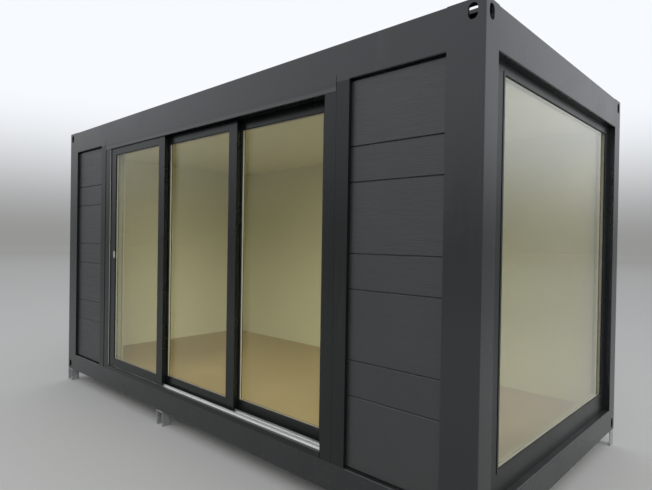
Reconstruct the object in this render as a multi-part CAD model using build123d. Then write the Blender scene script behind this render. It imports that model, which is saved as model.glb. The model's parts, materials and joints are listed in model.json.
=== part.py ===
from build123d import *
import os

# Container cabin: a steel corner-post frame with recessed grooved walls, a three-track sliding glass
# door in the front and one fixed pane in the right end.
# Millimetres. +X along the front towards the glazed end, the front faces -Y, +Z up.
# The origin is on the ground, under the middle of the cabin.

# Overall sizes
cabin_length = 5045.0
cabin_width = 2440.0
frame_height = 2675.0
ground_clearance = 130.0

# Corner posts and corner castings
post_front = 205.0
post_side = 146.0
post_wall = 5.0
post_corner_radius = 9.0
casting_height = 118.0
casting_wall = 14.0
casting_plate = 20.0
socket_width = 52.0
socket_height = 80.0
socket_from_corner = 66.0
socket_from_end = 59.0
lift_slot_length = 124.0
lift_slot_width = 64.0

# Rails round the floor and the roof
floor_rail_height = 175.0
roof_rail_height = 225.0
rail_steel = 5.0
rail_corner_radius = 7.0
floor_rail_foot = 60.0
roof_rail_top_flange = 70.0
roof_rail_hanger = 30.0

# Walls
wall_recess = 25.0
board_wide = 415.0
board_narrow = 208.5
board_foot_gap = 11.0
board_head_gap = 12.0
board_gap_depth = 20.0
groove_width = 10.0
groove_depth = 12.0
board_bevel = 5.0
lining_thickness = 10.0

# Floor, ceiling and roof
deck_thickness = 20.0
deck_above_rail = 15.0
joist_height = 120.0
joist_flange = 50.0
joist_steel = 4.0
joist_spacing = 480.0
ceiling_thickness = 12.0
roof_rib_pitch = 200.0
roof_rib_height = 20.0
roof_rib_crest = 60.0
roof_rib_slope = 18.0
roof_sheet_steel = 2.0

# Front bays
bay_width = 631.0
door_post_width = 100.0
jamb_box = 72.0
jamb_lip = 25.0
jamb_setback = 3.0
lip_steel = 10.0
lip_edge_break = 2.5
frame_steel = 5.0
frame_joint = 4.0
frame_joint_depth = 5.0
rail_joint_depth = 3.0
rail_joint_rise = 40.0

# Sliding door
sash_setback = 15.0
sash_thickness = 37.0
sash_edge_break = 1.5
leaf_gap = 10.0
inner_lip_gap = 6.0
lock_stile = 125.0
meeting_stile = 100.0
sash_in_jamb = 15.0
sill_height = 37.0
sash_above_sill = 5.0
bottom_rail = 77.0
top_rail = 82.0
head_drop = 53.0
head_box = 24.0
sash_in_head = 15.0
glass_setback = 10.0
door_glass = 20.0
glass_rebate = 12.0
glass_play = 2.0
track_height = 20.0
track_rib = 4.0
track_foot = 26.0
track_foot_thickness = 3.0
guide_clearance = 5.0
guide_drop = 24.0
guide_groove_depth = 20.0
roller_radius = 12.0
roller_width = 6.0
roller_from_end = 160.0
roller_gap = 0.3
axle_radius = 4.0
axle_in_cheek = 1.0
latch_width = 26.0
latch_height = 72.0
latch_corner_radius = 12.0
latch_depth = 4.0
grip_width = 9.0
grip_height = 40.0
grip_depth = 10.0
latch_from_edge = 2.0
latch_above_floor = 1145.0

# The door leaves from left to right, each one track behind the last, with their left and right stiles
leaves = (
    ("left", lock_stile, meeting_stile),
    ("middle", meeting_stile, meeting_stile),
    ("right", meeting_stile, lock_stile),
)

# End window
window_recess = 45.0
window_depth = 60.0
window_front_stile = 180.0
window_back_stile = 98.0
window_bottom_rail = 143.0
window_top_rail = 63.0
window_bead = 6.0
window_glass = 24.0

# Supports under the frame
support_width = 100.0
support_run = 80.0
support_steel = 8.0
support_radius = 9.0
corner_support_inset = 5.0
middle_support_from_left = 2083.0

# How far a cutting block passes a face, and how near a corner is to a level that names it
overcut = 1.0
near = 0.01

# Places worked out from the sizes
X0 = -cabin_length / 2
X1 = cabin_length / 2
Y0 = -cabin_width / 2
Y1 = cabin_width / 2
Z0 = ground_clearance
Z1 = ground_clearance + frame_height
wall_foot = Z0 + floor_rail_height
wall_head = Z1 - roof_rail_height
floor_level = wall_foot + deck_above_rail
bay_end = X0 + post_front + bay_width
door_left = bay_end + door_post_width
door_right = -door_left
opening_left = door_left + jamb_box
opening_right = -opening_left
track_pitch = sash_thickness + leaf_gap
sashes_depth = sash_thickness + (len(leaves) - 1) * track_pitch
door_frame_depth = sash_setback + sashes_depth + inner_lip_gap + lip_steel
sill_top = wall_foot + sill_height
track_top = sill_top + track_height
sash_foot = sill_top + sash_above_sill
head_underside = wall_head - head_box
lip_underside = wall_head - head_drop
sash_head = lip_underside + sash_in_head
sash_left_edge = opening_left + jamb_lip - sash_in_jamb
sash_pitch = (-sash_left_edge * 2 - meeting_stile) / len(leaves)
sash_width = sash_pitch + meeting_stile
guide_groove = track_rib + 2 * guide_clearance
window_inner = X1 - window_recess - window_depth
lining_inner = post_side + lining_thickness
ceiling_level = wall_head - ceiling_thickness


def block(x, y, z):
    """A rectangular block between two values on each axis."""
    size = (x[1] - x[0], y[1] - y[0], z[1] - z[0])
    middle = ((x[0] + x[1]) / 2, (y[0] + y[1]) / 2, (z[0] + z[1]) / 2)
    return Pos(*middle) * Box(*size)


def bar(x, y, z, axis):
    """A block whose four long edges, along an axis, are broken by a small chamfer."""
    body = block(x, y, z)
    return chamfer(body.edges().filter_by(axis), sash_edge_break)


def rect(u, v):
    """A rectangle between two values on each axis of a sketch."""
    middle = ((u[0] + u[1]) / 2, (v[0] + v[1]) / 2)
    return Pos(*middle) * Rectangle(u[1] - u[0], v[1] - v[0])


# Sections are drawn with u inwards from the outer face and v upwards from the ground.
side_frames = {
    "front": (Plane(origin=(0, Y0, 0), x_dir=(0, 1, 0), z_dir=(1, 0, 0)), cabin_length - 2 * post_front),
    "back": (Plane(origin=(0, Y1, 0), x_dir=(0, -1, 0), z_dir=(-1, 0, 0)), cabin_length - 2 * post_front),
    "left": (Plane(origin=(X0, 0, 0), x_dir=(1, 0, 0), z_dir=(0, -1, 0)), cabin_width - 2 * post_side),
    "right": (Plane(origin=(X1, 0, 0), x_dir=(-1, 0, 0), z_dir=(0, 1, 0)), cabin_width - 2 * post_side),
}


def run_between_posts(section, side):
    """A section run along one side of the cabin, from post to post."""
    plane, length = side_frames[side]
    return extrude(plane * section, amount=length / 2, both=True)


def front_run(section, x_from, x_to):
    """A section run along part of the front."""
    plane = Plane(origin=(x_from, Y0, 0), x_dir=(0, 1, 0), z_dir=(1, 0, 0))
    return extrude(plane * section, amount=x_to - x_from)


def round_outer(section, levels):
    """Rounds the corners of a section that lie on the outer face at some levels."""
    corners = section.vertices().filter_by(
        lambda v: abs(v.X) < near and min(abs(v.Y - level) for level in levels) < near
    )
    return fillet(corners, rail_corner_radius)


def rail(section, side, free_level, wall_level):
    """A rail between two posts; along the door frame its edge is square, flush with the frame."""
    free = round_outer(section, (free_level, wall_level))
    if side != "front":
        return run_between_posts(free, side)
    flush = round_outer(section, (free_level,))
    run = front_run(free, X0 + post_front, bay_end)
    run += front_run(flush, bay_end, -bay_end)
    run += front_run(free, -bay_end, X1 - post_front)
    return run


def corner_plan(front_sign, end_sign):
    """Plan of a corner post, rounded at the cabin's corner and square where the rails run into it."""
    plan = Rectangle(post_front, post_side)
    outer = plan.vertices().filter_by(lambda v: v.X * end_sign > 0 and v.Y * front_sign > 0)
    return fillet(outer, post_corner_radius)


def corner_post(front_sign, end_sign):
    """Rectangular hollow post between the castings."""
    bore = Rectangle(post_front - 2 * post_wall, post_side - 2 * post_wall)
    section = corner_plan(front_sign, end_sign) - bore
    post = extrude(section, amount=frame_height - 2 * casting_height)
    x = end_sign * (X1 - post_front / 2)
    y = front_sign * (Y1 - post_side / 2)
    return Pos(x, y, Z0 + casting_height) * post


def corner_casting(front_sign, end_sign, top):
    """Hollow corner block with a socket in its front, its end and its top or bottom face."""
    body = extrude(corner_plan(front_sign, end_sign), amount=casting_height)
    hollow_low = casting_wall if top else casting_plate
    hollow_high = casting_height - (casting_plate if top else casting_wall)
    half_x = post_front / 2
    half_y = post_side / 2
    body -= block(
        (-half_x + casting_wall, half_x - casting_wall),
        (-half_y + casting_wall, half_y - casting_wall),
        (hollow_low, hollow_high),
    )
    socket_z = casting_height - socket_from_end if top else socket_from_end
    socket = SlotOverall(socket_height, socket_width, rotation=90)
    front_plane = Plane(
        origin=(end_sign * (half_x - socket_from_corner), front_sign * half_y, socket_z),
        x_dir=(1, 0, 0),
        z_dir=(0, front_sign, 0),
    )
    end_plane = Plane(
        origin=(end_sign * half_x, front_sign * (half_y - socket_from_corner), socket_z),
        x_dir=(0, 1, 0),
        z_dir=(end_sign, 0, 0),
    )
    body -= extrude(front_plane * socket, amount=-casting_wall - overcut)
    body -= extrude(end_plane * socket, amount=-casting_wall - overcut)
    lift_slot = SlotOverall(lift_slot_length, lift_slot_width)
    lift_face = casting_height if top else 0
    lift_plane = Plane(origin=(0, 0, lift_face), x_dir=(1, 0, 0), z_dir=(0, 0, 1 if top else -1))
    body -= extrude(lift_plane * lift_slot, amount=-casting_plate - overcut)
    low = Z1 - casting_height if top else Z0
    return Pos(end_sign * (X1 - half_x), front_sign * (Y1 - half_y), low) * body


def floor_rail(side):
    """Folded channel: an outer web, a broad top flange that carries the wall and a narrow foot."""
    top_flange = window_recess + window_depth if side == "right" else post_side
    section = rect((0, rail_steel), (Z0, wall_foot))
    section += rect((0, top_flange), (wall_foot - rail_steel, wall_foot))
    section += rect((0, floor_rail_foot), (Z0, Z0 + rail_steel))
    return rail(section, side, Z0, wall_foot)


def roof_rail(side):
    """Folded channel with the soffit flange that the wall meets and the ceiling hangs from."""
    section = rect((0, rail_steel), (wall_head, Z1))
    section += rect((0, post_side + roof_rail_hanger), (wall_head, wall_head + rail_steel))
    section += rect((0, roof_rail_top_flange), (Z1 - rail_steel, Z1))
    run = rail(section, side, Z1, wall_head)
    if side == "front":
        run -= frame_joints(rail_joint_depth, wall_head - overcut, wall_head + rail_joint_rise)
    return run


def frame_joints(depth, low, high):
    """Blocks that cut the open joint along the outer edges of the door frame, to a depth."""
    joint_y = (Y0 - overcut, Y0 + depth)
    left = block((door_left, door_left + frame_joint), joint_y, (low, high))
    return left + mirror(left, about=Plane.YZ)


def wall_section():
    """Insulated wall of wide and narrow boards, each with a bevelled top edge under a groove, and a gap
    above and below them all."""
    section = rect((wall_recess, post_side), (wall_foot, wall_head))
    gap = (wall_recess - overcut, wall_recess + board_gap_depth)
    section -= rect(gap, (wall_foot - overcut, wall_foot + board_foot_gap))
    section -= rect(gap, (wall_head - board_head_gap, wall_head + overcut))
    level = wall_foot + board_foot_gap
    boards = [board_wide, board_narrow]
    count = 0
    while level + boards[count % 2] < wall_head - board_head_gap - groove_width:
        level += boards[count % 2]
        count += 1
        upper_edge = level + groove_width / 2
        slot_foot = upper_edge - groove_width + board_bevel
        section -= rect((wall_recess - overcut, wall_recess + groove_depth), (slot_foot, upper_edge))
        bevel = [
            (wall_recess - overcut, slot_foot),
            (wall_recess + board_bevel, slot_foot),
            (wall_recess - overcut, slot_foot - board_bevel - overcut),
        ]
        section -= make_face(Polyline(*bevel, close=True))
    return section


def floor_joists():
    """Folded channels across the cabin, between the webs of the front and back floor rails."""
    high = floor_level - deck_thickness
    section = rect((0, joist_steel), (high - joist_height, high))
    section += rect((0, joist_flange), (high - joist_steel, high))
    section += rect((0, joist_flange), (high - joist_height, high - joist_height + joist_steel))
    run = cabin_width - 2 * rail_steel
    count = int((cabin_length - 2 * post_front) // joist_spacing)
    joists = []
    for index in range(count):
        x = (index - (count - 1) / 2) * joist_spacing
        plane = Plane(origin=(x, 0, 0), x_dir=(1, 0, 0), z_dir=(0, -1, 0))
        joists.append(extrude(plane * section, amount=run / 2, both=True))
    return joists


def roof_sheet():
    """Ribbed steel sheet under the top flanges of the roof rails, its ribs across the cabin."""
    half = cabin_length / 2 - rail_steel
    high = Z1 - rail_steel
    low = high - roof_rib_height
    count = int((2 * half - roof_rib_crest) // roof_rib_pitch)
    upper = [(-half, high)]
    for index in range(count):
        middle = (index - (count - 1) / 2) * roof_rib_pitch
        pan = (roof_rib_pitch - roof_rib_crest) / 2 - roof_rib_slope
        upper.append((middle - pan - roof_rib_slope, high))
        upper.append((middle - pan, low))
        upper.append((middle + pan, low))
        upper.append((middle + pan + roof_rib_slope, high))
    upper.append((half, high))
    lower = [(x, z - roof_sheet_steel) for x, z in reversed(upper)]
    outline = make_face(Polyline(*upper, *lower, close=True))
    plane = Plane(origin=(0, 0, 0), x_dir=(1, 0, 0), z_dir=(0, -1, 0))
    reach = cabin_width / 2 - rail_steel
    sheet = extrude(plane * outline, amount=reach, both=True)
    for end_sign in (-1, 1):
        for front_sign in (-1, 1):
            corner_x = sorted((end_sign * (X1 - post_front), end_sign * X1))
            corner_y = sorted((front_sign * (Y1 - post_side), front_sign * Y1))
            sheet -= block(corner_x, corner_y, (low - roof_rib_height, Z1))
    return sheet


def door_jamb():
    """Hollow jamb of the left side, with a lip that hides the edge of the door leaf."""
    front = Y0 + jamb_setback
    back = Y0 + door_frame_depth
    lip_end = opening_left + jamb_lip
    section = rect((door_left, opening_left), (front, back))
    section -= rect(
        (door_left + frame_steel, opening_left - frame_steel),
        (Y0 + lip_steel, back - lip_steel),
    )
    section += rect((opening_left - frame_steel, lip_end), (front, Y0 + lip_steel))
    section += rect((opening_left - frame_steel, lip_end), (back - lip_steel, back))
    lip_corner = section.vertices().filter_by(
        lambda v: abs(v.X - lip_end) < near and abs(v.Y - front) < near
    )
    section = chamfer(lip_corner, lip_edge_break)
    jamb = Pos(0, 0, wall_foot) * extrude(section, amount=wall_head - wall_foot)
    reach = (door_left - overcut, lip_end + overcut)
    jamb -= block(reach, (Y0, Y0 + lip_steel), (lip_underside, wall_head + overcut))
    jamb -= frame_joints(jamb_setback + frame_joint_depth, wall_foot - overcut, wall_head + overcut)
    beyond_rail = (Y0 + post_side, back + overcut)
    jamb -= block(reach, beyond_rail, (wall_foot - overcut, floor_level))
    jamb -= block(reach, beyond_rail, (ceiling_level, wall_head + overcut))
    return jamb


def clear_of_jamb_lips(shape):
    """Cuts a head or sill back to where the lips of the jambs end."""
    back = Y0 + door_frame_depth
    lip_zones = ((Y0 - overcut, Y0 + lip_steel), (back - lip_steel, back + overcut))
    for side_sign in (-1, 1):
        reach = sorted((side_sign * -opening_left, side_sign * (-opening_left - jamb_lip)))
        for zone in lip_zones:
            shape -= block(reach, zone, (wall_foot - overcut, wall_head + overcut))
    return shape


def door_post(x_from, x_to):
    """Hollow post that closes the wall beside the door frame."""
    middle = ((x_from + x_to) / 2, Y0 + post_side / 2)
    outline = Rectangle(x_to - x_from, post_side)
    bore = Rectangle(x_to - x_from - 2 * frame_steel, post_side - 2 * frame_steel)
    return Pos(*middle, wall_foot) * extrude(outline - bore, amount=wall_head - wall_foot)


def track_centre(index):
    """Distance of one door track's centre line behind the outer face."""
    return sash_setback + sash_thickness / 2 + index * track_pitch


def door_head():
    """Box along the head with guide fins over the tracks, and an outer lip that also covers the jambs."""
    section = rect((lip_steel, post_side), (head_underside, wall_head))
    section += rect((post_side, door_frame_depth), (head_underside, ceiling_level))
    section += rect((door_frame_depth - lip_steel, door_frame_depth), (lip_underside, ceiling_level))
    for index in range(len(leaves)):
        middle = track_centre(index)
        fin = (middle - track_rib / 2, middle + track_rib / 2)
        section += rect(fin, (head_underside - guide_drop, head_underside))
    box = clear_of_jamb_lips(front_run(section, opening_left, opening_right))
    lip_section = rect((0, lip_steel), (lip_underside, wall_head))
    drip_edge = lip_section.vertices().filter_by(
        lambda v: abs(v.X) < near and abs(v.Y - lip_underside) < near
    )
    lip = front_run(chamfer(drip_edge, lip_edge_break), door_left, door_right)
    lip -= frame_joints(frame_joint_depth, lip_underside - overcut, wall_head + overcut)
    return box + lip


def door_sill():
    """Solid threshold on the floor rail, with an upstand behind the innermost leaf."""
    section = rect((0, post_side), (wall_foot, sill_top))
    section += rect((post_side, door_frame_depth), (floor_level, sill_top))
    section += rect((door_frame_depth - lip_steel, door_frame_depth), (floor_level, track_top))
    return clear_of_jamb_lips(front_run(section, opening_left, opening_right))


def door_tracks():
    """One rib on a broad foot for each leaf, on which its rollers run."""
    tracks = []
    for index in range(len(leaves)):
        middle = track_centre(index)
        foot = (middle - track_foot / 2, middle + track_foot / 2)
        rib = (middle - track_rib / 2, middle + track_rib / 2)
        section = rect(foot, (sill_top, sill_top + track_foot_thickness))
        section += rect(rib, (sill_top, track_top))
        tracks.append(front_run(section, opening_left, opening_right))
    return tracks


def sash_parts(index, left_stile, right_stile):
    """Stiles, rails with rollers, and glass of one door leaf in its closed place."""
    x_from = sash_left_edge + index * sash_pitch
    x_to = x_from + sash_width
    front = Y0 + sash_setback + index * track_pitch
    back = front + sash_thickness
    middle = front + sash_thickness / 2
    sight_left = x_from + left_stile
    sight_right = x_to - right_stile
    sight_low = sash_foot + bottom_rail
    sight_high = sash_head - top_rail
    glass_y = (front + glass_setback, front + glass_setback + door_glass)
    rebate = block(
        (sight_left - glass_rebate, sight_right + glass_rebate),
        glass_y,
        (sight_low - glass_rebate, sight_high + glass_rebate),
    )
    groove_y = (middle - guide_groove / 2, middle + guide_groove / 2)
    groove_x = (x_from - overcut, x_to + overcut)
    foot_groove = block(groove_x, groove_y, (sash_foot - overcut, track_top + guide_clearance))
    head_groove = block(groove_x, groove_y, (sash_head - guide_groove_depth, sash_head + overcut))
    stiles = []
    for span in ((x_from, sight_left), (sight_right, x_to)):
        stile = bar(span, (front, back), (sash_foot, sash_head), Axis.Z)
        stiles.append(stile - rebate - foot_groove - head_groove)
    between = (sight_left, sight_right)
    lower = bar(between, (front, back), (sash_foot, sight_low), Axis.X) - rebate - foot_groove
    upper = bar(between, (front, back), (sight_high, sash_head), Axis.X) - rebate - head_groove
    roller_z = track_top + roller_gap + roller_radius
    pocket = roller_radius + guide_clearance
    for x in (sight_left + roller_from_end, sight_right - roller_from_end):
        lower -= block((x - pocket, x + pocket), groove_y, (sash_foot, roller_z + pocket))
        wheel_plane = Plane(origin=(x, middle, roller_z), x_dir=(1, 0, 0), z_dir=(0, 1, 0))
        axle_reach = guide_groove / 2 + axle_in_cheek
        lower += extrude(wheel_plane * Circle(axle_radius), amount=axle_reach, both=True)
        lower += extrude(wheel_plane * Circle(roller_radius), amount=roller_width / 2, both=True)
    inset = glass_rebate - glass_play
    glass = block(
        (sight_left - inset, sight_right + inset), glass_y, (sight_low - inset, sight_high + inset)
    )
    return {"stiles": stiles, "rails": [lower, upper], "glass": [glass]}


def door_latch():
    """Rounded latch plate with a raised grip on the lock stile of the left leaf."""
    x = sash_left_edge + lock_stile - latch_width / 2 - latch_from_edge
    z = floor_level + latch_above_floor
    plane = Plane(origin=(x, Y0 + sash_setback, z), x_dir=(1, 0, 0), z_dir=(0, -1, 0))
    plate = RectangleRounded(latch_width, latch_height, latch_corner_radius)
    grip = SlotOverall(grip_height, grip_width, rotation=90)
    return extrude(plane * plate, amount=latch_depth) + extrude(plane * grip, amount=grip_depth)


def end_window():
    """Stiles, rails and the one pane of the window that fills the right end."""
    x = (window_inner, X1 - window_recess)
    low = wall_foot
    high = wall_head
    y = (Y0 + post_side, Y1 - post_side)
    sight_y = (y[0] + window_front_stile, y[1] - window_back_stile)
    sight_z = (low + window_bottom_rail, high - window_top_rail)
    pane_x = (x[1] - window_bead - window_glass, x[1] - window_bead)
    rebate = block(
        pane_x,
        (sight_y[0] - glass_rebate, sight_y[1] + glass_rebate),
        (sight_z[0] - glass_rebate, sight_z[1] + glass_rebate),
    )
    stiles = [
        bar(x, (y[0], sight_y[0]), (low, high), Axis.Z) - rebate,
        bar(x, (sight_y[1], y[1]), (low, high), Axis.Z) - rebate,
    ]
    rails = [
        bar(x, sight_y, (low, sight_z[0]), Axis.Y) - rebate,
        bar(x, sight_y, (sight_z[1], high), Axis.Y) - rebate,
    ]
    inset = glass_rebate - glass_play
    pane = block(
        pane_x, (sight_y[0] - inset, sight_y[1] + inset), (sight_z[0] - inset, sight_z[1] + inset)
    )
    return stiles, rails, pane


def support(x, front_sign):
    """Inverted channel on the ground that carries the floor rail."""
    section = rect((-support_width / 2, support_width / 2), (0, ground_clearance))
    top = section.vertices().group_by(Axis.Y)[-1]
    section = fillet(top, support_radius)
    section -= rect(
        (-support_width / 2 + support_steel, support_width / 2 - support_steel),
        (0, ground_clearance - support_steel),
    )
    plane = Plane(origin=(x, front_sign * Y1, 0), x_dir=(1, 0, 0), z_dir=(0, -1, 0))
    return extrude(plane * section, amount=front_sign * support_run)


def supports():
    """Channels at the four corners and one pair part way along."""
    corner = X1 - corner_support_inset - support_width / 2
    places = [-corner, X0 + middle_support_from_left, corner]
    return [support(x, front_sign) for front_sign in (-1, 1) for x in places]


parts = {}

for front_sign, front_name in ((-1, "front"), (1, "back")):
    for end_sign, end_name in ((-1, "left"), (1, "right")):
        parts[f"corner_post_{front_name}_{end_name}"] = [corner_post(front_sign, end_sign)]

corners = [(front_sign, end_sign) for front_sign in (-1, 1) for end_sign in (-1, 1)]
parts["corner_castings_top"] = [corner_casting(f, e, True) for f, e in corners]
parts["corner_castings_bottom"] = [corner_casting(f, e, False) for f, e in corners]

for side in side_frames:
    parts[f"floor_rail_{side}"] = [floor_rail(side)]
    parts[f"roof_rail_{side}"] = [roof_rail(side)]

parts["wall_front_left"] = [front_run(wall_section(), X0 + post_front, bay_end)]
parts["wall_front_right"] = [front_run(wall_section(), -bay_end, X1 - post_front)]
parts["wall_back"] = [run_between_posts(wall_section(), "back")]
parts["wall_left_end"] = [run_between_posts(wall_section(), "left")]

lining_z = (floor_level, ceiling_level)
front_lining_y = (Y0 + post_side, Y0 + lining_inner)
parts["lining_long_walls"] = [
    block((X0 + lining_inner, door_left), front_lining_y, lining_z),
    block((door_right, window_inner), front_lining_y, lining_z),
    block((X0 + lining_inner, window_inner), (Y1 - lining_inner, Y1 - post_side), lining_z),
]
parts["lining_left_end"] = [
    block((X0 + post_side, X0 + lining_inner), (Y0 + post_side, Y1 - post_side), lining_z)
]

room_x = (X0 + post_side, window_inner)
room_y = (Y0 + post_side, Y1 - post_side)
deck = block(room_x, room_y, (floor_level - deck_thickness, floor_level))
ceiling = block(room_x, room_y, (ceiling_level, wall_head))
for front_sign in (-1, 1):
    for end_sign in (-1, 1):
        post_x = sorted((end_sign * (X1 - post_front), end_sign * X1))
        post_y = sorted((front_sign * (Y1 - post_side), front_sign * Y1))
        deck -= block(post_x, post_y, (Z0, Z1))
        ceiling -= block(post_x, post_y, (Z0, Z1))
parts["floor_deck"] = [deck]
parts["ceiling_board"] = [ceiling]
parts["floor_joists"] = floor_joists()
parts["roof_sheet"] = [roof_sheet()]

parts["door_post_left"] = [door_post(bay_end, door_left)]
parts["door_post_right"] = [door_post(door_right, -bay_end)]

jamb_left = door_jamb()
jamb_right = mirror(jamb_left, about=Plane.YZ)
parts["door_jamb_left"] = [jamb_left]
parts["door_jamb_right"] = [jamb_right]
parts["door_head"] = [door_head()]
parts["door_sill"] = [door_sill()]
parts["door_tracks"] = door_tracks()

for index, (leaf, left_stile, right_stile) in enumerate(leaves):
    for piece, solids in sash_parts(index, left_stile, right_stile).items():
        parts[f"door_leaf_{leaf}_{piece}"] = solids
parts["door_latch"] = [door_latch()]

window_stiles, window_rails, window_pane = end_window()
parts["end_window_stiles"] = window_stiles
parts["end_window_rails"] = window_rails
parts["end_window_glass"] = [window_pane]

parts["ground_supports"] = supports()

os.makedirs("parts", exist_ok=True)
for name, solids in parts.items():
    shape = solids[0] if len(solids) == 1 else Compound(children=solids)
    export_step(shape, f"parts/{name}.step")
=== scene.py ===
import json
import math

import bmesh
import bpy
from mathutils import Matrix, Vector


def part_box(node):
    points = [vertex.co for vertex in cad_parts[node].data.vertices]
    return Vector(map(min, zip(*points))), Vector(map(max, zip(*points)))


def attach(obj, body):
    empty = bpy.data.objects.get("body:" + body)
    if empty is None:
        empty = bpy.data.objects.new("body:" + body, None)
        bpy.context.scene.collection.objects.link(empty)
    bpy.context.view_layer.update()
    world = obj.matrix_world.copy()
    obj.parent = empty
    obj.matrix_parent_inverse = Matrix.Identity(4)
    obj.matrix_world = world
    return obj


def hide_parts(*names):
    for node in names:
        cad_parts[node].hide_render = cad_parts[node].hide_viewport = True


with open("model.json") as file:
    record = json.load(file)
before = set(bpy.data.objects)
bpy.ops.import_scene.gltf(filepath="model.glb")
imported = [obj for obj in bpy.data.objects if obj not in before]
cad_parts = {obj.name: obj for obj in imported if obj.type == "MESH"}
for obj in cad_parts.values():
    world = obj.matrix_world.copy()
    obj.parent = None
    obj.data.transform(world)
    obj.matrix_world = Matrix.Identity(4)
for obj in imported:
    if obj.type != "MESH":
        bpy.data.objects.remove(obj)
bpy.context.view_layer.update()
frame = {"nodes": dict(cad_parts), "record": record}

nodes = frame["nodes"]
scene = bpy.context.scene
scene.view_settings.view_transform = "Standard"

# Sizes are in metres, in the frame's own axes
x_axis = 0
y_axis = 1
merge_distance = 0.00001
sharp_angle = 1.0

# The wall boards, wide and narrow in turn from the foot up, and how much lighter or darker each one is
floor_rail_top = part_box("wall_back")[0].z
board_start = 0.011
board_wide = 0.415
board_narrow = 0.2085
board_shades = (-0.16, 0.2, -0.1, 0.16, -0.22, 0.14, 0.1)
board_shade_reach = 0.3

# The door head's lip, and the painted highlight along its lower edge, a paler band
head_lip_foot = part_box("door_head")[1].z - 0.053
head_band = 0.027
head_band_fade = 0.002

# Where the paint of the jambs and the end window turns from dark to the room's white
left_room_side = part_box("door_leaf_left_stiles")[1].y
right_room_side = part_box("door_leaf_right_stiles")[1].y
pane_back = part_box("end_window_glass")[0].x
jamb_dark_past_leaf = 0.004
jamb_fade = 0.002
window_fade = 0.001

# Double glazing: the sheets of glass, the spacer bar between them and the rubber on both faces
glass_hidden_edge = 0.010
sheet_thickness = 0.004
sheet_edge_bevel = 0.0006
spacer_sight = 0.0035
spacer_inset = 0.002
gasket_width = 0.0035
gasket_height = 0.0025
gasket_bevel = 0.0010

# The end window's bead, the brushes between the leaves and the seal strips on the jambs
bead_width = 0.018
bead_depth = 0.003
bead_edge = 0.0022
brush_width = 0.007
brush_length = 0.0048
brush_end_gap = 0.004
brush_bevel = 0.0012
strip_depth = 0.0035
strip_width = 0.006
strip_offset = 0.0025
strip_foot = 0.037
strip_bevel = 0.0006
seal_segments = 2

# Colours of the paints and of the dust on them
dust_colour = (0.22, 0.20, 0.165, 1.0)
frame_grey = (0.0060, 0.0080, 0.0094)
door_grey = (0.0052, 0.0066, 0.0066)
board_grey = (0.0150, 0.0180, 0.0188)
# The pale grey of the painted highlight along the door head's lip
head_band_highlight_grey = (0.30, 0.31, 0.31, 1.0)
room_side_white = (0.60, 0.60, 0.51, 1.0)

# Colours of the lining, the floor covering and the bare metals
lining_white = (0.81, 0.81, 0.70, 1.0)
lining_shade = (0.76, 0.76, 0.65, 1.0)
floor_brown = (0.46, 0.345, 0.21, 1.0)
floor_sand = (0.62, 0.49, 0.32, 1.0)
floor_trodden = (0.68, 0.58, 0.43, 1.0)
zinc_dark = (0.46, 0.48, 0.49, 1.0)
zinc_pale = (0.74, 0.76, 0.77, 1.0)
track_silver = (0.95, 0.95, 0.93)
latch_silver = (0.78, 0.79, 0.79)
spacer_silver = (0.74, 0.70, 0.58)

# Colours of the seals and of the pale strip that is a painted highlight, each from its darker to its lighter
# shade
rubber_black = ((0.010, 0.010, 0.010), (0.022, 0.022, 0.021))
# The pale strip on the left jamb's lip is a painted highlight, a bright line along the lip's edge
highlight_strip_grey = ((0.34, 0.34, 0.31), (0.46, 0.46, 0.43))
pile_black = ((0.006, 0.006, 0.006), (0.03, 0.03, 0.03))

# Glass: the tint that is seen through, the tint of the light that passes, and how much each pane mirrors
door_tint = (0.96, 0.93, 0.68)
window_tint = (0.68, 0.645, 0.38)
outer_tint = (0.97, 0.975, 0.95)
inner_passes = (1.0, 1.0, 0.97)
outer_passes = (1.0, 1.0, 0.98)
door_mirroring = 1.2
window_mirroring = 1.6

# How strongly each paint shines, and how rough each finish is, clean and under dust
board_sheen = 0.85
frame_sheen = 0.72
door_sheen = 0.42
frame_roughness = 0.25
trim_roughness = 0.30
door_roughness = 0.28
roof_roughness = 0.5
metal_roughness = 0.34
spacer_roughness = 0.50
dusty_paint = 0.85
dusty_board = 0.88
dusty_metal = 0.8
powder_coat = {"peel": 900.0, "depth": 0.00006}

# The studio's floor, which looks darker far away, and its surround
floor_size = 90.0
floor_roughness = 0.95
floor_near = (0.49, 0.485, 0.47, 1.0)
floor_far = (0.356, 0.340, 0.319, 1.0)
floor_bounce = (0.26, 0.26, 0.25, 1.0)
near_reach = 6.0
far_reach = 50.0
horizon_grey = (0.305, 0.305, 0.30, 1.0)
zenith_white = (0.93, 0.96, 1.0, 1.0)
surround_rise = 0.25
sky_light = (0.93, 0.96, 1.0, 1.0)
sky_strength = 0.80

# Each lamp's name, place, size, power in watts and spread in degrees
lamps = (
    ("key_light", (6.5, -7.0, 6.5), 5.0, 290.0, 180.0),
    ("front_light", (-3.0, -9.0, 5.5), 7.0, 165.0, 180.0),
    ("end_light", (9.5, 2.0, 4.2), 5.0, 94.0, 120.0),
)
lamp_aim = Vector((0.0, 0.0, 1.2))

# The camera, fitted to the photograph
photo_width = 652
camera_place = Vector((3.6115, -3.4553, 1.6378))
camera_yaw = math.radians(43.091)
camera_pitch = math.radians(-0.504)
camera_roll = math.radians(0.908)
focal_pixels = 505.39
sensor_width = 36.0
sight_limit = 200.0


def feed(tree, socket, value):
    """Sets a socket, or links it to the socket that feeds it."""
    if isinstance(value, bpy.types.NodeSocket):
        tree.links.new(value, socket)
    else:
        socket.default_value = value


def add(tree, kind, sockets=None, **settings):
    """Adds a node with its settings and its inputs, given by name or number."""
    node = tree.nodes.new(kind)
    for name, value in settings.items():
        setattr(node, name, value)
    for key, value in (sockets or {}).items():
        feed(tree, node.inputs[key], value)
    return node


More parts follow.
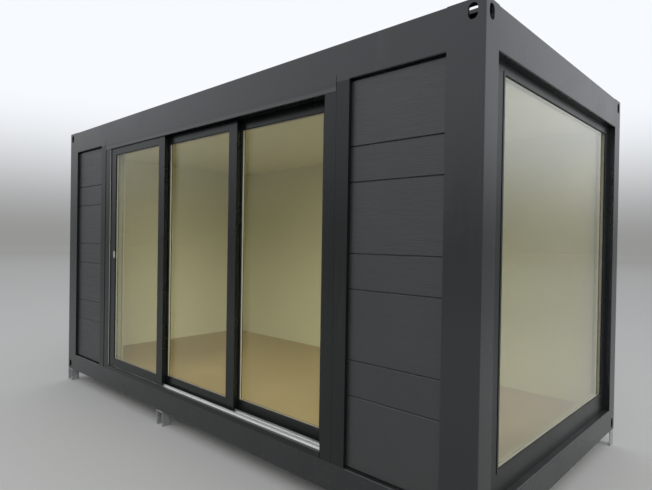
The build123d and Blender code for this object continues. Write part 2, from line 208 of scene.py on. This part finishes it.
def calc(tree, operation, first, second, clamp=False):
    """A sum, product or other calculation on two values."""
    node = add(tree, "ShaderNodeMath", {0: first, 1: second}, operation=operation, use_clamp=clamp)
    return node.outputs[0]


def remap(tree, value, low, high, new_low=0.0, new_high=1.0, smooth=False):
    """Carries a value from one range to another and stops at its ends."""
    kind = "SMOOTHSTEP" if smooth else "LINEAR"
    sockets = {"Value": value, "From Min": low, "From Max": high, "To Min": new_low, "To Max": new_high}
    return add(tree, "ShaderNodeMapRange", sockets, interpolation_type=kind).outputs["Result"]


def between(tree, share, start, end):
    """A value between two others: the start where the share is 0, the end where it is 1."""
    return remap(tree, share, 0.0, 1.0, start, end)


def mix_colour(tree, share, low, high):
    """One colour over another."""
    return add(tree, "ShaderNodeMix", {0: share, 6: low, 7: high}, data_type="RGBA").outputs[2]


def mix_value(tree, share, low, high):
    """One value over another."""
    return add(tree, "ShaderNodeMix", {0: share, 2: low, 3: high}, data_type="FLOAT").outputs[0]


def veil(tree, mask, body, colour, share):
    """A colour laid over another where a mask is, at a share of its strength."""
    return mix_colour(tree, calc(tree, "MULTIPLY", mask, share), body, colour)


def noise(tree, place, scale, detail=2.0, roughness=0.5, distortion=0.0):
    """Soft noise at a place."""
    sockets = {
        "Vector": place, "Scale": scale, "Detail": detail, "Roughness": roughness, "Distortion": distortion,
    }
    return add(tree, "ShaderNodeTexNoise", sockets).outputs["Fac"]


def object_place(tree):
    """The place on the piece, in metres."""
    return add(tree, "ShaderNodeTexCoord").outputs["Object"]


def vector_calc(tree, operation, first, second):
    """A calculation on two vectors, axis by axis."""
    return add(tree, "ShaderNodeVectorMath", {0: first, 1: second}, operation=operation).outputs[0]


def along_axis(tree, vector, axis):
    """A vector's part along one axis."""
    return add(tree, "ShaderNodeSeparateXYZ", {0: vector}).outputs[axis]


def effect(name, inputs, outputs):
    """An empty shader node group with its named inputs and outputs."""
    tree = bpy.data.node_groups.new(name, "ShaderNodeTree")
    for label, default in inputs.items():
        kind = "NodeSocketVector" if isinstance(default, tuple) else "NodeSocketFloat"
        socket = tree.interface.new_socket(label, in_out="INPUT", socket_type=kind)
        socket.default_value = default
    for label in outputs:
        tree.interface.new_socket(label, in_out="OUTPUT", socket_type="NodeSocketFloat")
    given = tree.nodes.new("NodeGroupInput").outputs
    result = tree.nodes.new("NodeGroupOutput").inputs
    return tree, given, result


def use(tree, group, **values):
    """Places an effect in a material, with its own values, and gives the effect's outputs."""
    return add(tree, "ShaderNodeGroup", values, node_tree=group).outputs


def build_sprayed_film():
    """Orange peel of sprayed paint, and the slow unevenness of its sheen."""
    coarse_scale = 0.16
    coarse_share = 0.35
    tree, given, result = effect("sprayed_film", {"Peel": 320.0, "Cloud": 1.4}, ("Height", "Sheen"))
    place = object_place(tree)
    fine = noise(tree, place, given["Peel"], roughness=0.55)
    coarse = noise(tree, place, calc(tree, "MULTIPLY", given["Peel"], coarse_scale), detail=1.0)
    feed(tree, result["Height"], mix_value(tree, coarse_share, fine, coarse))
    cloud = noise(tree, place, given["Cloud"], detail=4.0, roughness=0.6, distortion=0.7)
    feed(tree, result["Sheen"], remap(tree, cloud, low=0.32, high=0.68))
    return tree


def build_settled_dust():
    """Dust that lies on upward faces and clings near the ground, in patches."""
    speck_share = 0.35
    inputs = {"Upward": 0.5, "Low": 0.35, "Reach": 0.9}
    tree, given, result = effect("settled_dust", inputs, ("Dust",))
    place = object_place(tree)
    normal = add(tree, "ShaderNodeNewGeometry").outputs["Normal"]
    level = remap(tree, along_axis(tree, normal, "Z"), low=0.4, high=0.95)
    lying = calc(tree, "MULTIPLY", level, given["Upward"])
    near_ground = remap(tree, along_axis(tree, place, "Z"), low=given["Reach"], high=0.05, smooth=True)
    clinging = calc(tree, "MULTIPLY", near_ground, given["Low"])
    patch_noise = noise(tree, place, scale=5.0, detail=6.0, roughness=0.65)
    patch = remap(tree, patch_noise, low=0.33, high=0.7, new_low=0.25)
    speck_noise = noise(tree, place, scale=130.0, detail=3.0, roughness=0.7)
    speck = remap(tree, speck_noise, low=0.35, high=0.75)
    spread = mix_value(tree, speck_share, patch, speck)
    total = calc(tree, "ADD", lying, clinging)
    feed(tree, result["Dust"], calc(tree, "MULTIPLY", total, spread, clamp=True))
    return tree


def build_rain_marks():
    """Faint streaks that water left as it ran down."""
    downwards = (1.0, 1.0, 0.06)
    tree, given, result = effect("rain_marks", {"Width": 14.0}, ("Marks",))
    place = object_place(tree)
    flow = vector_calc(tree, "MULTIPLY", place, downwards)
    streak_noise = noise(tree, flow, given["Width"], detail=3.0, roughness=0.6, distortion=0.25)
    streak = remap(tree, streak_noise, low=0.55, high=0.72)
    patch_noise = noise(tree, place, scale=2.2, detail=3.0, roughness=0.55)
    patch = remap(tree, patch_noise, low=0.4, high=0.65)
    feed(tree, result["Marks"], calc(tree, "MULTIPLY", streak, patch))
    return tree


def build_drawn_grain():
    """Grain or fine lines along one axis, for embossed boards and drawn metal."""
    pore_scale = 4.5
    pore_share = 0.4
    inputs = {"Stretch": (1.0, 1.0, 1.0), "Scale": 40.0, "Warp": 0.4}
    tree, given, result = effect("drawn_grain", inputs, ("Height", "Tone"))
    along = vector_calc(tree, "MULTIPLY", object_place(tree), given["Stretch"])
    lines = noise(tree, along, given["Scale"], detail=5.0, roughness=0.62, distortion=given["Warp"])
    pores = noise(tree, along, calc(tree, "MULTIPLY", given["Scale"], pore_scale), distortion=0.2)
    pits = remap(tree, pores, low=0.34, high=0.5)
    feed(tree, result["Height"], mix_value(tree, pore_share, lines, pits))
    feed(tree, result["Tone"], remap(tree, lines, low=0.3, high=0.7))
    return tree


def build_scuffs():
    """Short thin scratches that lie more or less level."""
    flat_and_thin = (5.0, 5.0, 170.0)
    tree, given, result = effect("scuffs", {"Amount": 0.5}, ("Scuffs",))
    place = object_place(tree)
    thin = vector_calc(tree, "MULTIPLY", place, flat_and_thin)
    line_noise = noise(tree, thin, scale=1.0, detail=3.0, roughness=0.6, distortion=0.8)
    lines = remap(tree, line_noise, low=0.63, high=0.7)
    where = remap(tree, noise(tree, place, scale=1.7), low=0.56, high=0.68)
    scratched = calc(tree, "MULTIPLY", lines, where)
    feed(tree, result["Scuffs"], calc(tree, "MULTIPLY", scratched, given["Amount"]))
    return tree


sprayed_film = build_sprayed_film()
settled_dust = build_settled_dust()
rain_marks = build_rain_marks()
drawn_grain = build_drawn_grain()
scuffs = build_scuffs()


def tint(colour, factor=1.0):
    """A colour made lighter or darker, with its alpha."""
    return tuple(channel * factor for channel in colour) + (1.0,)


def material(name, **values):
    """A material with one Principled shader; values set its sockets."""
    made = bpy.data.materials.new(name)
    made.use_nodes = True
    tree = made.node_tree
    tree.nodes.clear()
    sockets = {label.replace("_", " "): value for label, value in values.items()}
    shader = add(tree, "ShaderNodeBsdfPrincipled", sockets)
    output = add(tree, "ShaderNodeOutputMaterial", {"Surface": shader.outputs[0]})
    return made, tree, shader, output


def finish(tree, shader, body, roughness):
    """Gives a shader its colour and its roughness."""
    feed(tree, shader.inputs["Base Color"], body)
    feed(tree, shader.inputs["Roughness"], roughness)


def bump(tree, shader, height, distance):
    """Relief of a given depth on the surface."""
    node = add(tree, "ShaderNodeBump", {"Height": height, "Distance": distance, "Strength": 1.0})
    feed(tree, shader.inputs["Normal"], node.outputs["Normal"])


def paint(name, colour, roughness, sheen, peel=320.0, depth=0.00012, upward=0.14):
    """Satin sprayed paint on steel or aluminium, with dust, rain marks and a few scuffs."""
    made, tree, shader, _ = material(name, Specular_IOR_Level=sheen)
    film = use(tree, sprayed_film, Peel=peel)
    dust = use(tree, settled_dust, Upward=upward, Low=0.04, Reach=0.6)["Dust"]
    body = mix_colour(tree, film["Sheen"], tint(colour, 0.88), tint(colour, 1.12))
    body = veil(tree, use(tree, rain_marks)["Marks"], body, dust_colour, share=0.035)
    body = mix_colour(tree, use(tree, scuffs)["Scuffs"], body, tint(colour, 2.6))
    body = mix_colour(tree, dust, body, dust_colour)
    gloss = between(tree, film["Sheen"], roughness - 0.04, roughness + 0.05)
    finish(tree, shader, body, mix_value(tree, dust, gloss, dusty_paint))
    bump(tree, shader, film["Height"], depth)
    return made, tree, shader, body


def head_paint(name):
    """The door head's paint, with a painted highlight: a little paler along the lower edge of its lip."""
    made, tree, shader, body = paint(name, door_grey, door_roughness, frame_sheen)
    height = along_axis(tree, object_place(tree), "Z")
    band_top = head_lip_foot + head_band
    highlight_band = remap(tree, height, low=band_top, high=band_top - head_band_fade)
    # Painted highlight: the paint turns paler in a band along the lip's lower edge
    body = veil(tree, highlight_band, body, head_band_highlight_grey, share=0.06)
    feed(tree, shader.inputs["Base Color"], body)
    return made


def two_tone_paint(name, axis, dark_end, white_start):
    """Door paint that is dark outside and near the lining's white on the room side, parted along an axis."""
    made, tree, shader, body = paint(name, door_grey, door_roughness, door_sheen, **powder_coat)
    inside = remap(tree, along_axis(tree, object_place(tree), axis), dark_end, white_start)
    feed(tree, shader.inputs["Base Color"], mix_colour(tree, inside, body, room_side_white))
    return made


def jamb_paint(name, room_side):
    """A jamb's paint, which turns white just behind the leaf that closes against it."""
    dark_end = room_side + jamb_dark_past_leaf
    return two_tone_paint(name, "Y", dark_end, dark_end + jamb_fade)


def board_shade(tree):
    """How light or dark the board at this height is, from 0 to 1."""
    height = along_axis(tree, object_place(tree), "Z")
    level = floor_rail_top + board_start
    shade = 0.0
    for index, change in enumerate(board_shades):
        level += board_narrow if index % 2 else board_wide
        above = calc(tree, "MULTIPLY", calc(tree, "GREATER_THAN", height, level), change)
        shade = calc(tree, "ADD", shade, above)
    return remap(tree, shade, low=-board_shade_reach, high=board_shade_reach)


def embossed_board(name, grain_stretch):
    """Painted wall boards embossed with wood grain along one axis, each board its own shade."""
    made, tree, shader, _ = material(name, Specular_IOR_Level=board_sheen)
    grain = use(tree, drawn_grain, Stretch=grain_stretch, Scale=55.0, Warp=0.9)
    film = use(tree, sprayed_film, Cloud=2.6)
    dust = use(tree, settled_dust, Upward=0.25, Low=0.07, Reach=0.6)["Dust"]
    body = mix_colour(tree, board_shade(tree), tint(board_grey, 0.85), tint(board_grey, 1.15))
    tone = calc(tree, "MULTIPLY", grain["Tone"], film["Sheen"])
    body = veil(tree, tone, body, tint(board_grey, 1.8), share=0.45)
    body = mix_colour(tree, dust, body, dust_colour)
    gloss = between(tree, grain["Tone"], 0.34, 0.52)
    finish(tree, shader, body, mix_value(tree, dust, gloss, dusty_board))
    bump(tree, shader, grain["Height"], 0.0007)
    return made


def galvanised():
    """Hot-dip galvanised steel with its spangle, dull with dust."""
    warp_reach = (0.012, 0.012, 0.012)
    made, tree, shader, _ = material("galvanised_steel", Metallic=1.0)
    place = object_place(tree)
    wander = {"Vector": place, "Scale": 60.0, "Detail": 2.0}
    warped = add(tree, "ShaderNodeTexNoise", wander).outputs["Color"]
    moved = vector_calc(tree, "ADD", place, vector_calc(tree, "MULTIPLY", warped, warp_reach))
    crystal = add(tree, "ShaderNodeTexVoronoi", {"Vector": moved, "Scale": 90.0}).outputs["Color"]
    shade = add(tree, "ShaderNodeSeparateColor", {0: crystal}).outputs[0]
    dust = use(tree, settled_dust, Upward=0.35, Low=0.5, Reach=0.25)["Dust"]
    body = mix_colour(tree, dust, mix_colour(tree, shade, zinc_dark, zinc_pale), dust_colour)
    gloss = between(tree, shade, 0.34, 0.52)
    finish(tree, shader, body, mix_value(tree, dust, gloss, dusty_paint))
    feed(tree, shader.inputs["Metallic"], between(tree, dust, 1.0, 0.2))
    bump(tree, shader, shade, 0.00015)
    return made


def drawn_aluminium(name, stretch, roughness, colour, upward=0.28, metallic=1.0):
    """Mill-finish aluminium with fine lines along its length and some dust."""
    made, tree, shader, _ = material(name, Metallic=metallic)
    grain = use(tree, drawn_grain, Stretch=stretch, Scale=260.0, Warp=0.05)
    dust = use(tree, settled_dust, Upward=upward, Low=0.0)["Dust"]
    metal = mix_colour(tree, grain["Tone"], tint(colour, 0.82), tint(colour))
    body = mix_colour(tree, dust, metal, dust_colour)
    gloss = between(tree, grain["Tone"], roughness, roughness + 0.16)
    finish(tree, shader, body, mix_value(tree, dust, gloss, dusty_metal))
    bump(tree, shader, grain["Height"], 0.00008)
    return made


def wall_lining():
    """Grey-white faced lining board, nearly plain."""
    made, tree, shader, _ = material("grey_white_lining")
    cloud = remap(tree, noise(tree, object_place(tree), scale=1.1, detail=3.0), low=0.3, high=0.7)
    body = mix_colour(tree, cloud, lining_shade, lining_white)
    finish(tree, shader, body, between(tree, cloud, 0.45, 0.55))
    return made


def floor_covering():
    """Sand-coloured floor covering with a fine fleck and faint dusty footmarks."""
    made, tree, shader, _ = material("floor_covering")
    place = object_place(tree)
    fleck = noise(tree, place, scale=240.0, detail=4.0, roughness=0.7)
    cloud_noise = noise(tree, place, scale=2.3, detail=5.0, roughness=0.6, distortion=0.6)
    cloud = remap(tree, cloud_noise, low=0.3, high=0.7)
    body = mix_colour(tree, remap(tree, fleck, low=0.35, high=0.65), floor_brown, floor_sand)
    body = veil(tree, cloud, body, floor_trodden, share=0.35)
    finish(tree, shader, body, between(tree, cloud, 0.45, 0.7))
    bump(tree, shader, fleck, 0.0002)
    return made


def pane_glass(name, seen, passes, mirroring):
    """Clear sheet glass; lamps and scattered light pass straight through it."""
    made, tree, shader, output = material(
        name, Base_Color=tint(seen), Roughness=0.0, IOR=mirroring, Transmission_Weight=1.0,
    )
    path = add(tree, "ShaderNodeLightPath").outputs
    clear = add(tree, "ShaderNodeBsdfTransparent", {"Color": tint(passes)})
    share = calc(tree, "MAXIMUM", path["Is Shadow Ray"], path["Is Diffuse Ray"])
    both = add(tree, "ShaderNodeMixShader", {0: share, 1: shader.outputs[0], 2: clear.outputs[0]})
    feed(tree, output.inputs["Surface"], both.outputs[0])
    return made


def rubber(name, shades):
    """A dull rubber finish between two shades, for the seals and for the pale strip that is a painted
    highlight.
    """
    made, tree, shader, _ = material(name)
    grain = noise(tree, object_place(tree), scale=700.0, detail=3.0, roughness=0.6)
    body = mix_colour(tree, grain, tint(shades[0]), tint(shades[1]))
    finish(tree, shader, body, remap(tree, grain, low=0.3, high=0.7, new_low=0.55, new_high=0.75))
    bump(tree, shader, grain, 0.0001)
    return made


def brush_pile():
    """Dark pile of a brush seal, its hairs across the gap."""
    across_gap = (1.0, 0.1, 1.0)
    made, tree, shader, _ = material("brush_pile")
    hairs = noise(tree, vector_calc(tree, "MULTIPLY", object_place(tree), across_gap), scale=900.0)
    body = mix_colour(tree, hairs, tint(pile_black[0]), tint(pile_black[1]))
    finish(tree, shader, body, remap(tree, hairs, low=0.3, high=0.7, new_low=0.85, new_high=0.95))
    bump(tree, shader, hairs, 0.0006)
    return made


looks = {
    "frame_paint": paint("frame_paint", frame_grey, frame_roughness, frame_sheen)[0],
    "trim_paint": paint("trim_paint", door_grey, trim_roughness, door_sheen)[0],
    "door_paint": paint("door_powder_coat", door_grey, door_roughness, door_sheen, **powder_coat)[0],
    "roof_paint": paint("roof_paint", frame_grey, roof_roughness, frame_sheen, upward=0.45)[0],
    "galvanised": galvanised(),
    "track_metal": drawn_aluminium(
        "track_aluminium", (0.03, 1.0, 1.0), metal_roughness, track_silver, upward=0.10,
    ),
    "latch": drawn_aluminium("latch_aluminium", (1.0, 1.0, 0.05), metal_roughness, latch_silver),
    "lining": wall_lining(),
    "floor": floor_covering(),
    "door_glass": pane_glass("door_glass_inner", door_tint, inner_passes, door_mirroring),
    "window_glass": pane_glass("window_glass_inner", window_tint, inner_passes, window_mirroring),
}
outer_looks = {
    "door_glass": pane_glass("door_glass_outer", outer_tint, outer_passes, door_mirroring),
    "window_glass": pane_glass("window_glass_outer", outer_tint, outer_passes, window_mirroring),
}
window_paint = two_tone_paint("end_window_paint", "X", pane_back, pane_back - window_fade)
boards_along_x = embossed_board("boards_along_front", (0.05, 1.0, 1.0))
boards_along_y = embossed_board("boards_along_end", (1.0, 0.05, 1.0))
spacer_metal = drawn_aluminium(
    "spacer_aluminium", (0.2, 0.2, 0.2), spacer_roughness, spacer_silver, metallic=0.4,
)
sealing_rubber = rubber("sealing_rubber", rubber_black)
# The left jamb's pale strip: a painted highlight along its lip
highlight_strip_look = rubber("lip_seal_strip", highlight_strip_grey)
seal_pile = brush_pile()

own_looks = {
    "wall_front_left": boards_along_x,
    "wall_front_right": boards_along_x,
    "wall_back": boards_along_x,
    "wall_left_end": boards_along_y,
    "door_head": head_paint("door_head_paint"),
    "door_jamb_left": jamb_paint("left_jamb_paint", left_room_side),
    "door_jamb_right": jamb_paint("right_jamb_paint", right_room_side),
    "end_window_stiles": window_paint,
    "end_window_rails": window_paint,
}
for entry in frame["record"]["subparts"]:
    name = entry["node"]
    look = own_looks.get(name) or looks[entry["material_slot"]]
    nodes[name].data.materials.clear()
    nodes[name].data.materials.append(look)


def piece(name, bm, look, body):
    """Makes a finished mesh a named piece that rides on a body."""
    bmesh.ops.remove_doubles(bm, verts=bm.verts, dist=merge_distance)
    bmesh.ops.recalc_face_normals(bm, faces=bm.faces)
    mesh = bpy.data.meshes.new(name)
    bm.to_mesh(mesh)
    bm.free()
    made = bpy.data.objects.new(name, mesh)
    scene.collection.objects.link(made)
    made.data.materials.append(look)
    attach(made, body)
    return made


def across(axis):
    """The two axes that lie across another."""
    return [i for i in range(3) if i != axis]


def place_between(bm, verts, low, high, axis):
    """Carries a unit square, centred on the origin and level, to the low side of a box along an axis."""
    matrix = Matrix.Diagonal((0.0, 0.0, 0.0, 1.0))
    for column, side in enumerate(across(axis)):
        matrix[side][column] = high[side] - low[side]
    matrix[axis][2] = 1.0
    centre = (low + high) / 2
    centre[axis] = low[axis]
    matrix.translation = centre
    bmesh.ops.transform(bm, matrix=matrix, verts=verts)


def shift(bm, verts, axis, distance):
    """Moves vertices along an axis."""
    move = Vector((0.0, 0.0, 0.0))
    move[axis] = distance
    bmesh.ops.translate(bm, vec=move, verts=verts)


def break_edges(bm, edges, bevel, segments):
    """Gives edges a small bevel."""
    bmesh.ops.bevel(
        bm, geom=edges, offset=bevel, offset_type="OFFSET", segments=segments, profile=0.5,
        affect="EDGES", clamp_overlap=True, material=-1,
    )


def raise_ring(bm, low, high, axis, bar):
    """Adds a closed ring round a box's outside; gives the vertices on its far face."""
    square = bmesh.ops.create_grid(bm, x_segments=1, y_segments=1, size=0.5)["verts"]
    place_between(bm, square, low, high, axis)
    face = square[0].link_faces[0]
    bmesh.ops.inset_individual(bm, faces=[face], thickness=bar, use_even_offset=True)
    flat = [f for f in bm.faces if f is not face and any(v in square for v in f.verts)]
    bmesh.ops.delete(bm, geom=[face], context="FACES_ONLY")
    grown = bmesh.ops.extrude_face_region(bm, geom=flat)["geom"]
    raised = [g for g in grown if isinstance(g, bmesh.types.BMVert)]
    shift(bm, raised, axis, high[axis] - low[axis])
    return raised


def add_ring(bm, low, high, axis, bar, bevel):
    """Adds a closed rectangular ring that fills a box's outside, its opening along an axis."""
    earlier = set(bm.edges)
    raise_ring(bm, low, high, axis, bar)
    sharp = [e for e in bm.edges if e not in earlier and e.calc_face_angle(0.0) > sharp_angle]
    break_edges(bm, sharp, bevel, seal_segments)


def add_bead(bm, low, high, axis, bar, thin):
    """Adds a ring whose outer face slopes down towards the opening, where it is thin."""
    raised = raise_ring(bm, low, high, axis, bar)
    middle = bar / 2
    inner = [v for v in raised if all(low[i] + middle < v.co[i] < high[i] - middle for i in across(axis))]
    shift(bm, inner, axis, thin - (high[axis] - low[axis]))


def add_slab(bm, low, high, bevel, segments=1):
    """Adds a box with its edges broken by a small bevel."""
    cube = bmesh.ops.create_cube(bm, size=1.0)["verts"]
    bmesh.ops.scale(bm, vec=high - low, verts=cube)
    bmesh.ops.translate(bm, vec=(low + high) / 2, verts=cube)
    break_edges(bm, [e for e in bm.edges if e.verts[0] in cube], bevel, segments)


def span(low, high, axis, start, end):
    """The part of a box between two values along an axis."""
    near = low.copy()
    far = high.copy()
    near[axis] = start
    far[axis] = end
    return near, far


def shrink(low, high, axis, inset):
    """A box made smaller by an inset on the two axes that lie across another."""
    near = low.copy()
    far = high.copy()
    for i in across(axis):
        near[i] += inset
        far[i] -= inset
    return near, far


def glaze(prefix, glass_node, body, axis, slot, outer_high):
    """Double glazing in place of a plain pane: two sheets, a spacer bar and rubber on both faces."""
    low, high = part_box(glass_node)
    starts = [low[axis], high[axis] - sheet_thickness]
    if outer_high:
        starts.reverse()
    for label, look, start in zip(("outer", "inner"), (outer_looks[slot], looks[slot]), starts):
        sheet = bmesh.new()
        add_slab(sheet, *span(low, high, axis, start, start + sheet_thickness), sheet_edge_bevel)
        pane = piece(f"{prefix}_{label}_pane", sheet, look, body)
        if label == "outer":
            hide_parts(glass_node)
    cavity = span(low, high, axis, low[axis] + sheet_thickness, high[axis] - sheet_thickness)
    bars = bmesh.new()
    bar = glass_hidden_edge - spacer_inset + spacer_sight
    add_ring(bars, *shrink(*cavity, axis, spacer_inset), axis, bar, gasket_bevel)
    piece(f"{prefix}_spacer_bars", bars, spacer_metal, body)
    seals = bmesh.new()
    sight = shrink(low, high, axis, glass_hidden_edge)
    for start in (low[axis] - gasket_height, high[axis]):
        add_ring(seals, *span(*sight, axis, start, start + gasket_height), axis, gasket_width, gasket_bevel)
    piece(f"{prefix}_glazing_rubber", seals, sealing_rubber, body)


def end_window_bead():
    """The glazing bead on the outer face of the end window's frame, sloping down to the glass."""
    low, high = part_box("end_window_glass")
    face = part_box("end_window_rails")[1].x
    bm = bmesh.new()
    outline = shrink(low, high, x_axis, glass_hidden_edge - bead_width)
    add_bead(bm, *span(*outline, x_axis, face, face + bead_depth), x_axis, bead_width, bead_edge)
    piece("end_window_glazing_bead", bm, looks["door_paint"], "cabin")


def brush_seal(leaf):
    """A brush along the inner face of a leaf's right-hand stile, reaching to the next leaf."""
    low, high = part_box(f"{leaf}_stiles")
    stile = (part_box(f"{leaf}_glass")[1].x - glass_hidden_edge + high.x) / 2
    bm = bmesh.new()
    near = Vector((stile - brush_width / 2, high.y, low.z + brush_end_gap))
    far = Vector((stile + brush_width / 2, high.y + brush_length, high.z - brush_end_gap))
    add_slab(bm, near, far, brush_bevel, seal_segments)
    piece(f"{leaf}_brush_seal", bm, seal_pile, leaf)


def seal_and_highlight_strip(jamb, start, look):
    """A strip along the inner edge of a jamb's outer lip, from a place along the front: on the right jamb a
    dark rubber seal, on the left jamb a pale painted highlight.
    """
    low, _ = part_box(jamb)
    bm = bmesh.new()
    near = Vector((start, low.y + strip_offset, low.z + strip_foot))
    far = Vector((start + strip_depth, low.y + strip_offset + strip_width, head_lip_foot))
    add_slab(bm, near, far, strip_bevel, seal_segments)
    piece(f"{jamb}_seal_strip", bm, look, "cabin")


for leaf in ("door_leaf_left", "door_leaf_middle", "door_leaf_right"):
    glaze(leaf, f"{leaf}_glass", leaf, y_axis, "door_glass", False)
glaze("end_window", "end_window_glass", "cabin", x_axis, "window_glass", True)
end_window_bead()
brush_seal("door_leaf_left")
brush_seal("door_leaf_middle")
# The left jamb's strip is pale: a painted highlight along the lip's edge
seal_and_highlight_strip("door_jamb_left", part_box("door_jamb_left")[1].x, highlight_strip_look)
seal_and_highlight_strip("door_jamb_right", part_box("door_jamb_right")[0].x - strip_depth, sealing_rubber)


def studio_floor():
    """A pale floor that runs into the surround, with the same grey at the horizon."""
    bm = bmesh.new()
    bmesh.ops.create_grid(bm, x_segments=1, y_segments=1, size=floor_size)
    mesh = bpy.data.meshes.new("studio_floor")
    bm.to_mesh(mesh)
    bm.free()
    floor = bpy.data.objects.new("studio_floor", mesh)
    scene.collection.objects.link(floor)
    made, tree, shader, _ = material("studio_floor", Roughness=floor_roughness)
    away = add(tree, "ShaderNodeVectorMath", {0: object_place(tree)}, operation="LENGTH").outputs["Value"]
    seen = mix_colour(tree, remap(tree, away, near_reach, far_reach), floor_near, floor_far)
    scattered = add(tree, "ShaderNodeLightPath").outputs["Is Diffuse Ray"]
    feed(tree, shader.inputs["Base Color"], mix_colour(tree, scattered, seen, floor_bounce))
    floor.data.materials.append(made)


def studio_surround():
    """A surround from grey to white, also seen in mirrors and through glass, and its soft light."""
    world = bpy.data.worlds.new("studio")
    scene.world = world
    world.use_nodes = True
    tree = world.node_tree
    tree.nodes.clear()
    path = add(tree, "ShaderNodeLightPath").outputs
    seen = calc(tree, "MAXIMUM", path["Is Camera Ray"], path["Is Glossy Ray"])
    seen = calc(tree, "MAXIMUM", seen, path["Is Transmission Ray"])
    direction = add(tree, "ShaderNodeTexCoord").outputs["Generated"]
    height = remap(tree, along_axis(tree, direction, "Z"), low=0.0, high=surround_rise, smooth=True)
    backdrop = mix_colour(tree, height, horizon_grey, zenith_white)
    light = add(tree, "ShaderNodeBackground", {"Color": sky_light, "Strength": sky_strength})
    white = add(tree, "ShaderNodeBackground", {"Color": backdrop, "Strength": 1.0})
    both = add(tree, "ShaderNodeMixShader", {0: seen, 1: light.outputs[0], 2: white.outputs[0]})
    add(tree, "ShaderNodeOutputWorld", {"Surface": both.outputs[0]})


def studio_lamps():
    """Large soft lamps, which neither the glass nor the paint mirrors."""
    for name, place, size, power, spread in lamps:
        lamp = bpy.data.lights.new(name, "AREA")
        lamp.size = size
        lamp.energy = power
        lamp.spread = math.radians(spread)
        holder = bpy.data.objects.new(name, lamp)
        turn = (lamp_aim - Vector(place)).to_track_quat("-Z", "Y").to_matrix().to_4x4()
        holder.matrix_world = Matrix.Translation(place) @ turn
        holder.visible_glossy = False
        holder.visible_transmission = False
        scene.collection.objects.link(holder)


def photo_camera():
    """The camera that took the photograph."""
    lens = bpy.data.cameras.new("photo_camera")
    lens.sensor_fit = "HORIZONTAL"
    lens.sensor_width = sensor_width
    lens.lens = focal_pixels * sensor_width / photo_width
    lens.clip_end = sight_limit
    camera = bpy.data.objects.new("photo_camera", lens)
    turn = Matrix.Rotation(camera_yaw, 4, "Z")
    turn = turn @ Matrix.Rotation(math.pi / 2 + camera_pitch, 4, "X") @ Matrix.Rotation(camera_roll, 4, "Z")
    camera.matrix_world = Matrix.Translation(camera_place) @ turn
    scene.collection.objects.link(camera)
    scene.camera = camera


studio_floor()
studio_surround()
studio_lamps()
photo_camera()
